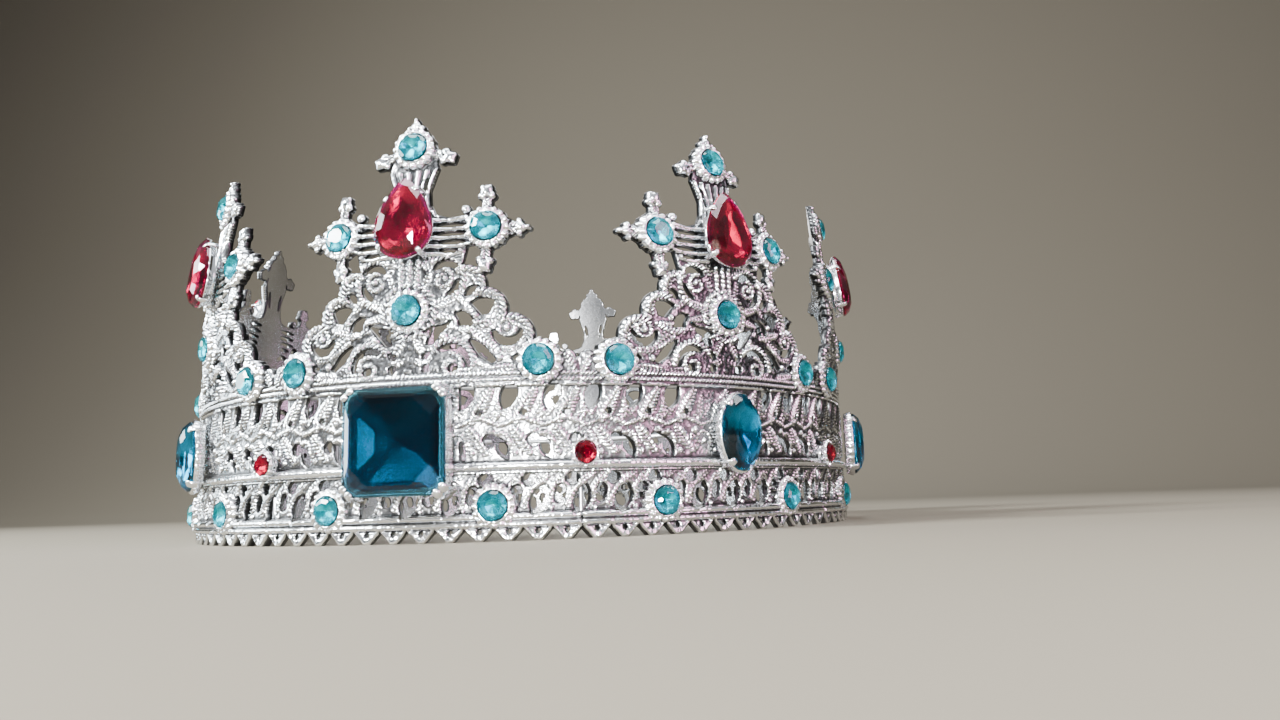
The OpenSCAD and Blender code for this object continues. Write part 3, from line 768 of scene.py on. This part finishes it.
def set_stones(name, node, slot, shape, n, crown, girdle, pav, places, table=0.58, square=0.0):
    """Glass stones and the foil seen through them, at each place."""
    glass, back = Parts(), Parts()
    if square:
        rows = ((0.10, -pav, 0.15), (0.42, -pav * 0.78, 0.5), (0.74, -pav * 0.45, 0.3), (1.0, 0, 0.15),
                (1.0, girdle, 0.15), (0.90, girdle + crown * 0.62, 0.30), (0.80, girdle + crown, 0.46))
        v, f = rings_mesh([eight(square * k, z, c) for k, z, c in rows])
        rows = ((0.10, -pav * 0.95, 0.15), (0.41, -pav * 0.73, 0.5), (0.72, -pav * 0.41, 0.3), (0.965, 0.02, 0.15),
                (0.975, girdle * 0.9, 0.15))
        fv, ff = rings_mesh([eight(square * k, z, c) for k, z, c in rows], top=False)
    else:
        v, f = stone(shape, n, crown, girdle, pav, table)
        rows = [loop(shape, n // 2, 0.10, -pav * 0.93, 0.5), loop(shape, n // 2, 0.50, -pav * 0.60),
                loop(shape, n, 0.965, 0.02), loop(shape, n, 0.975, girdle * 0.9)]
        fv, ff = rings_mesh(rows, top=False)
    for m in places:
        round_stone = n <= 16 and slot != "deep_teal_stone"
        spin = Matrix.Rotation(rng.uniform(-0.06, 0.06), 4, "Z") if round_stone else Matrix()
        glass.put(v, f, m @ spin)
        back.put(fv, ff, m @ spin)
    g, b = gem_mats[slot]
    glass.object(name, g, slot, [node])
    back.object(name + "Foil", b, slot)


ks = range(PLATES)
both = [(k, side) for k in ks for side in (-1, 1)]
rise = -SKIN_IN + 0.75 + SEAT_OUT
for name, node, r, crown, places in (
        ("TopStones", "top_stones", ROUND_R * 1.05, 0.85,
         [spot(0, TOP_Z, lean_r(TOP_Z) + rise, LEAN, k) for k in ks]),
        ("ArmStones", "arm_stones", ROUND_R * 1.05, 0.85,
         [spot(side * ARM_U, ARM_Z, lean_r(ARM_Z) + rise, LEAN, k) for k, side in both]),
        ("MiddleStones", "middle_stones", ROUND_R * 1.05, 0.85,
         [spot(0, LOW_Z, RING + rise, 0, k) for k in ks]),
        ("ShoulderStones", "shoulder_stones", ROUND_R * 1.05, 0.85,
         [spot(side * SHO_U, SHO_Z, RING + rise, 0, k) for k, side in both]),
        ("BandStones", "band_stones", BAND_R * 1.06, 0.8,
         [spot(side * BAND_U, CUP_Z, RING + rise, 0, k) for k, side in both])):
    set_stones(name, node, "aqua_stone", circle_shape(r), 16, crown, 0.2, 1.1, places)
red_places = [spot(RED_U, RED_Z, RING + 2.3, 0, k) for k in ks]
set_stones("RedStones", "red_stones", "small_red_stone", circle_shape(RED_R), 16, 0.75, 0.2, 0.85, red_places)

sq_places = [spot(0, SQ_Z, RING + 1.65 + 1.8 + 2.0, 0, k) for k in (0, 4)]
ov_places = [spot(0, OV_Z, RING + 1.65 + 1.4, 0, k) for k in (1, 2, 3, 5, 6, 7)]
dr_places = [spot(0, ARM_Z - 0.6, lean_r(ARM_Z) + 0.65 + 1.35 + 1.2, LEAN, k) for k in ks]
set_stones("SquareStones", "square_stones", "deep_teal_stone", None, 16, 1.6, 0.6, 2.0,
           sq_places, square=SQ / 2)
set_stones("OvalStones", "oval_stones", "teal_stone", oval_shape(*OVAL), 24, 2.0, 0.5, 1.4, ov_places)
set_stones("DropStones", "drop_stones", "red_stone", drop_shape(DROP_R, DROP_TIP), 24, 1.9, 0.5, 1.3,
           dr_places, 0.56)


# ---- settings ------------------------------------------------------------------------------------
def tube_ring(shape, n, inner, outer, z0, z1, bulge=0.12):
    """Closed collar of soft section round a shape."""
    prof = [(inner, z0), (outer, z0), (outer + bulge, (z0 + z1) / 2), (outer, z1 - 0.15),
            ((inner + outer) / 2, z1), (inner, z1 - 0.15)]
    v, f = [], []
    for i in range(n):
        t = 2 * math.pi * i / n
        p = shape(t)
        d = p / np.linalg.norm(p)
        for r, z in prof:
            v.append((*(p + d * r), z))
    m = len(prof)
    for i in range(n):
        j = (i + 1) % n
        for a in range(m):
            b = (a + 1) % m
            f.append((i * m + a, j * m + a, j * m + b, i * m + b))
    return np.array(v), f


def claw_mesh(reach, height, wide, thick=0.75, over=1.0):
    """Claw that rises beside the stone, bends over its edge and ends in a rounded lip. Local +y is outwards."""
    path = [(reach + 0.45, 0.0), (reach + 0.5, height * 0.45), (reach + 0.42, height * 0.85),
            (reach + 0.1, height + 0.15), (reach - over * 0.55, height + 0.42), (reach - over, height + 0.30)]
    half = [wide * 0.62, wide * 0.5, wide * 0.5, wide * 0.52, wide * 0.46, wide * 0.22]
    th = [thick, thick * 0.9, thick * 0.85, thick * 0.85, thick * 0.75, thick * 0.4]
    v, f = [], []
    seg = 10
    for i, (y, z) in enumerate(path):
        a = path[max(i - 1, 0)]
        b = path[min(i + 1, len(path) - 1)]
        t = np.array([b[0] - a[0], b[1] - a[1]])
        t /= np.linalg.norm(t)
        nrm = np.array([t[1], -t[0]])
        for s in range(seg):
            q = 2 * math.pi * s / seg
            x = half[i] * math.copysign(abs(math.cos(q)) ** 0.6, math.cos(q))
            o = th[i] / 2 * math.copysign(abs(math.sin(q)) ** 0.8, math.sin(q))
            v.append((x, y + nrm[0] * o, z + nrm[1] * o))
    for i in range(len(path) - 1):
        for s in range(seg):
            r = (s + 1) % seg
            f.append((i * seg + s, i * seg + r, (i + 1) * seg + r, (i + 1) * seg + s))
    f.append(tuple(reversed(range(seg))))
    f.append(tuple((len(path) - 1) * seg + s for s in range(seg)))
    return np.array(v), f


def plate_mesh(shape, n, grow, z0, z1):
    return rings_mesh([[(*(shape(2 * math.pi * i / n) * grow), z) for i in range(n)] for z in (z0, z1)])


def basket(shape, n, low, high, z0, z1, ribs=0, deep=0.0):
    """Wall under a stone, between scales low and high of its outline, with a lip at its foot and upright ribs."""
    prof = [(low - 0.14, z0), (low + 0.015, z0), (low + 0.03, z0 + 0.2), (low, z0 + 0.45), (high, z1 - 0.35),
            (high + 0.012, z1 - 0.15), (high, z1), (high - 0.14, z1)]
    v, f = [], []
    for i in range(n):
        t = 2 * math.pi * i / n
        p = shape(t)
        d = p / np.linalg.norm(p)
        for j, (k, z) in enumerate(prof):
            v.append((*(p * k + d * (deep * abs(math.sin(ribs * t / 2)) if j in (3, 4) else 0.0)), z))
    m = len(prof)
    for i in range(n):
        j = (i + 1) % n
        f += [(i * m + a, j * m + a, j * m + (a + 1) % m, i * m + (a + 1) % m) for a in range(m)]
    return np.array(v), f


def settings(name, node, shape, n, places, height, claws, down, low, high, ribs=0, deep=0.0):
    """Foot plate, basket and claws round each stone; down is how far the foot lies under the girdle."""
    ps = Parts()
    for m in places:
        ps.put(*basket(shape, n, low, high, -down, -0.03, ribs, deep), m)
        ps.put(*plate_mesh(shape, 48, low - 0.04, -down + 0.02, -down + 0.4), m)
        for a, wide, off in claws:
            t = math.radians(a) + math.pi / 2
            p, q = shape(t), shape(t + 0.01) - shape(t - 0.01)
            out = math.atan2(-q[0], q[1]) - math.pi / 2
            claw = claw_mesh(-0.12 if wide < 1.2 else 0.0, height, wide, min(0.75, 0.5 * wide), 0.55 + 0.3 * wide)
            foot = Matrix.Translation((p[0], p[1], -down)) @ Matrix.Rotation(out, 4, "Z")
            ps.put(*claw, m @ foot @ Matrix.Translation((off, 0, 0)))
    return ps.object(name, claw_metal, "setting_metal", [node], smooth=True)


settings("SquareSettings", "square_settings", square_shape(SQ / 2), 96, sq_places, 5.0,
         [(a, 1.5, o) for a in (45, 135, 225, 315) for o in (-0.75, 0.75)], 4.4, 0.93, 0.985, 24, 0.1)
settings("OvalSettings", "oval_settings", oval_shape(*OVAL), 120, ov_places, 2.6,
         [(a, 1.5, 0) for a in (40, 140, 220, 320)], 2.0, 0.97, 1.03, 30, 0.35)
settings("DropSettings", "drop_settings", drop_shape(DROP_R, DROP_TIP), 96, dr_places, 2.5,
         [(a, 1.0, 0) for a in (52, 128, 218, 322)], 1.9, 0.80, 0.985)


red = Parts()
for m in red_places:
    ring = circle_shape(RED_R)
    red.put(*tube_ring(ring, 36, 0.05, 0.42, -1.2, 0.12), m)
    red.put(*plate_mesh(ring, 36, 1.05, -1.25, -0.95), m)
    red.put(*plate_mesh(circle_shape(1.8), 24, 1.0, -2.9, -1.2), m)
    for i in range(12):
        t = 2 * math.pi * i / 12
        x, y = (RED_R + 0.5) * math.cos(t), (RED_R + 0.5) * math.sin(t)
        qs = np.linspace(0, 2 * math.pi, 10, endpoint=False)
        red.put(*rings_mesh([[(x + w * math.cos(q), y + w * math.sin(q), z) for q in qs]
                             for w, z in ((0.30, -1.1), (0.40, -0.6), (0.38, -0.2), (0.27, 0.06), (0.1, 0.17))]), m)
red.object("RedCups", claw_metal, "setting_metal", ["red_cups"], smooth=True)


# ---- solder --------------------------------------------------------------------------------------
def lumpy_strip(path, normal, width, thick, seed):
    """Uneven bead of solder along a path of points."""
    g = np.random.default_rng(seed)
    p = np.array(path)
    n, seg = len(p), 8
    w = width * (1 + 0.22 * np.convolve(g.normal(size=n + 4), np.ones(5) / 5, "valid"))
    v, f = [], []
    for i in range(n):
        t = p[min(i + 1, n - 1)] - p[max(i - 1, 0)]
        t /= np.linalg.norm(t)
        nn = np.array(normal[i])
        b = np.cross(t, nn)
        for s in range(seg):
            q = 2 * math.pi * s / seg
            v.append(p[i] + b * math.cos(q) * w[i] + nn * math.sin(q) * thick)
    for i in range(n - 1):
        for s in range(seg):
            r = (s + 1) % seg
            f.append((i * seg + s, i * seg + r, (i + 1) * seg + r, (i + 1) * seg + s))
    f.append(tuple(reversed(range(seg))))
    f.append(tuple((n - 1) * seg + s for s in range(seg)))
    return np.array(v), f


seams, bases = Parts(), Parts()
for k in ks:
    a = (k + 0.5) * STEP
    o = np.array([math.sin(a), -math.cos(a), 0])
    zs = np.linspace(2.5, 32.4, 60)
    path = [o * (INNER + 0.12) + np.array([0, 0, z]) for z in zs]
    seams.put(*lumpy_strip(path, [-o] * len(path), 0.42, 0.4, k))
    aa = np.linspace(-18, 18, 70) * math.pi / 180 + k * STEP
    dirs = [np.array([math.sin(x), -math.cos(x), 0]) for x in aa]
    path = [d * (INNER - 0.02) + np.array([0, 0, BAND_TOP]) for d in dirs]
    bases.put(*lumpy_strip(path, [-d for d in dirs], 0.75, 0.5, 40 + k))
seams.object("SeamSolder", solder_metal, "solder", ["seam_solder"], smooth=True)
bases.object("BaseSolder", solder_metal, "solder", ["base_solder"], smooth=True)

# ---- floor, light and camera ---------------------------------------------------------------------
floor_mat, _, fp = nodes_of("Backdrop")
fp.inputs["Base Color"].default_value = (0.106, 0.095, 0.073, 1)
fp.inputs["Specular IOR Level"].default_value = 0.1
fp.inputs["Roughness"].default_value = 0.8
me = bpy.data.meshes.new("Backdrop")
FLOOR, SWEEP, WALL_TOP = 6.0, 0.5, 2.4
bend = [(0.6 + SWEEP * math.sin(t), SWEEP - SWEEP * math.cos(t)) for t in np.linspace(0.1, math.pi / 2, 12)]
prof = [(-FLOOR, 0.0), (0.6, 0.0)] + bend + [(0.6 + SWEEP, WALL_TOP)]
vs = [(x, y, z) for y, z in prof for x in (-FLOOR, FLOOR)]
me.from_pydata(vs, [], [(2 * i, 2 * i + 1, 2 * i + 3, 2 * i + 2) for i in range(len(prof) - 1)])
me.polygons.foreach_set("use_smooth", [True] * len(me.polygons))
me.materials.append(floor_mat)
floor = bpy.data.objects.new("Backdrop", me)
bpy.context.scene.collection.objects.link(floor)


def area(name, loc, aim, size, power, color=(1, 1, 1)):
    d = bpy.data.lights.new(name, "AREA")
    d.shape = "RECTANGLE"
    d.size, d.size_y = size
    d.energy = power
    d.color = color
    o = bpy.data.objects.new(name, d)
    o.location = loc
    o.rotation_euler = (Vector(aim) - Vector(loc)).to_track_quat("-Z", "Y").to_euler()
    bpy.context.scene.collection.objects.link(o)
    return o


area("Key", (-0.55, -0.45, 0.50), (0, 0, 0.05), (0.24, 0.24), 46, (0.95, 0.98, 1.0))
area("Flash", (0.095, -0.50, 0.062), (0, 0, 0.03), (0.05, 0.05), 14)
area("Top", (0.05, -0.15, 0.9), (0, 0, 0), (0.6, 0.4), 12, (0.95, 0.97, 1.0))
area("Right", (0.75, -0.45, 0.30), (0, 0, 0.04), (0.2, 0.6), 4.5, (1.0, 0.46, 0.70))
area("Left", (-0.85, -0.1, 0.25), (0, 0, 0.04), (0.2, 0.6), 10.0, (0.84, 0.95, 1.0))
area("Rear", (-0.3, 0.8, 0.5), (0, 0, 0.05), (0.6, 0.4), 3)
world = bpy.data.worlds.new("Studio")
world.use_nodes = True
wn = world.node_tree
wc = wn.nodes.new("ShaderNodeTexCoord")
ws = wn.nodes.new("ShaderNodeSeparateXYZ")
wn.links.new(wc.outputs["Generated"], ws.inputs["Vector"])
wr = wn.nodes.new("ShaderNodeValToRGB")
# dark just under the horizon, brighter towards the top, so that the relief shows
stops = ((0.0, (0.12, 0.12, 0.12)), (0.47, (0.07, 0.07, 0.075)), (0.60, (0.32, 0.32, 0.335)),
         (1.0, (0.90, 0.92, 0.96)))
while len(wr.color_ramp.elements) < len(stops):
    wr.color_ramp.elements.new(0.5)
for e, (p, c) in zip(wr.color_ramp.elements, stops):
    e.position, e.color = p, (*c, 1)
wm = wn.nodes.new("ShaderNodeMapRange")
wm.inputs["From Min"].default_value = -1.0
wn.links.new(ws.outputs["Z"], wm.inputs["Value"])
wn.links.new(wm.outputs["Result"], wr.inputs["Fac"])
wn.links.new(wr.outputs["Color"], wn.nodes["Background"].inputs["Color"])
wn.nodes["Background"].inputs["Strength"].default_value = 0.85
bpy.context.scene.world = world

# the camera's place and angles, as read from the photograph's perspective
CAM_AWAY, CAM_HEIGHT = 3.0579 * RING * MM, 0.0065
cam = bpy.data.cameras.new("Camera")
cam.sensor_width = 36
cam.lens = 25.53
cam.clip_start, cam.clip_end = 0.01, 20
co = bpy.data.objects.new("Camera", cam)
bpy.context.scene.collection.objects.link(co)
yaw, pitch, roll, turn = 0.1193, 0.1525, -0.0335, 0.287
right = Vector((math.cos(yaw), -math.sin(yaw), 0))
ahead = Vector((math.sin(yaw) * math.cos(pitch), math.cos(yaw) * math.cos(pitch), math.sin(pitch)))
upv = right.cross(ahead)
cr = right * math.cos(roll) + upv * math.sin(roll)
cu = upv * math.cos(roll) - right * math.sin(roll)
rot = Matrix((cr, cu, -ahead)).transposed().to_4x4()
co.matrix_world = Matrix.Rotation(turn, 4, "Z") @ Matrix.Translation((0, -CAM_AWAY, CAM_HEIGHT)) @ rot
bpy.context.scene.camera = co
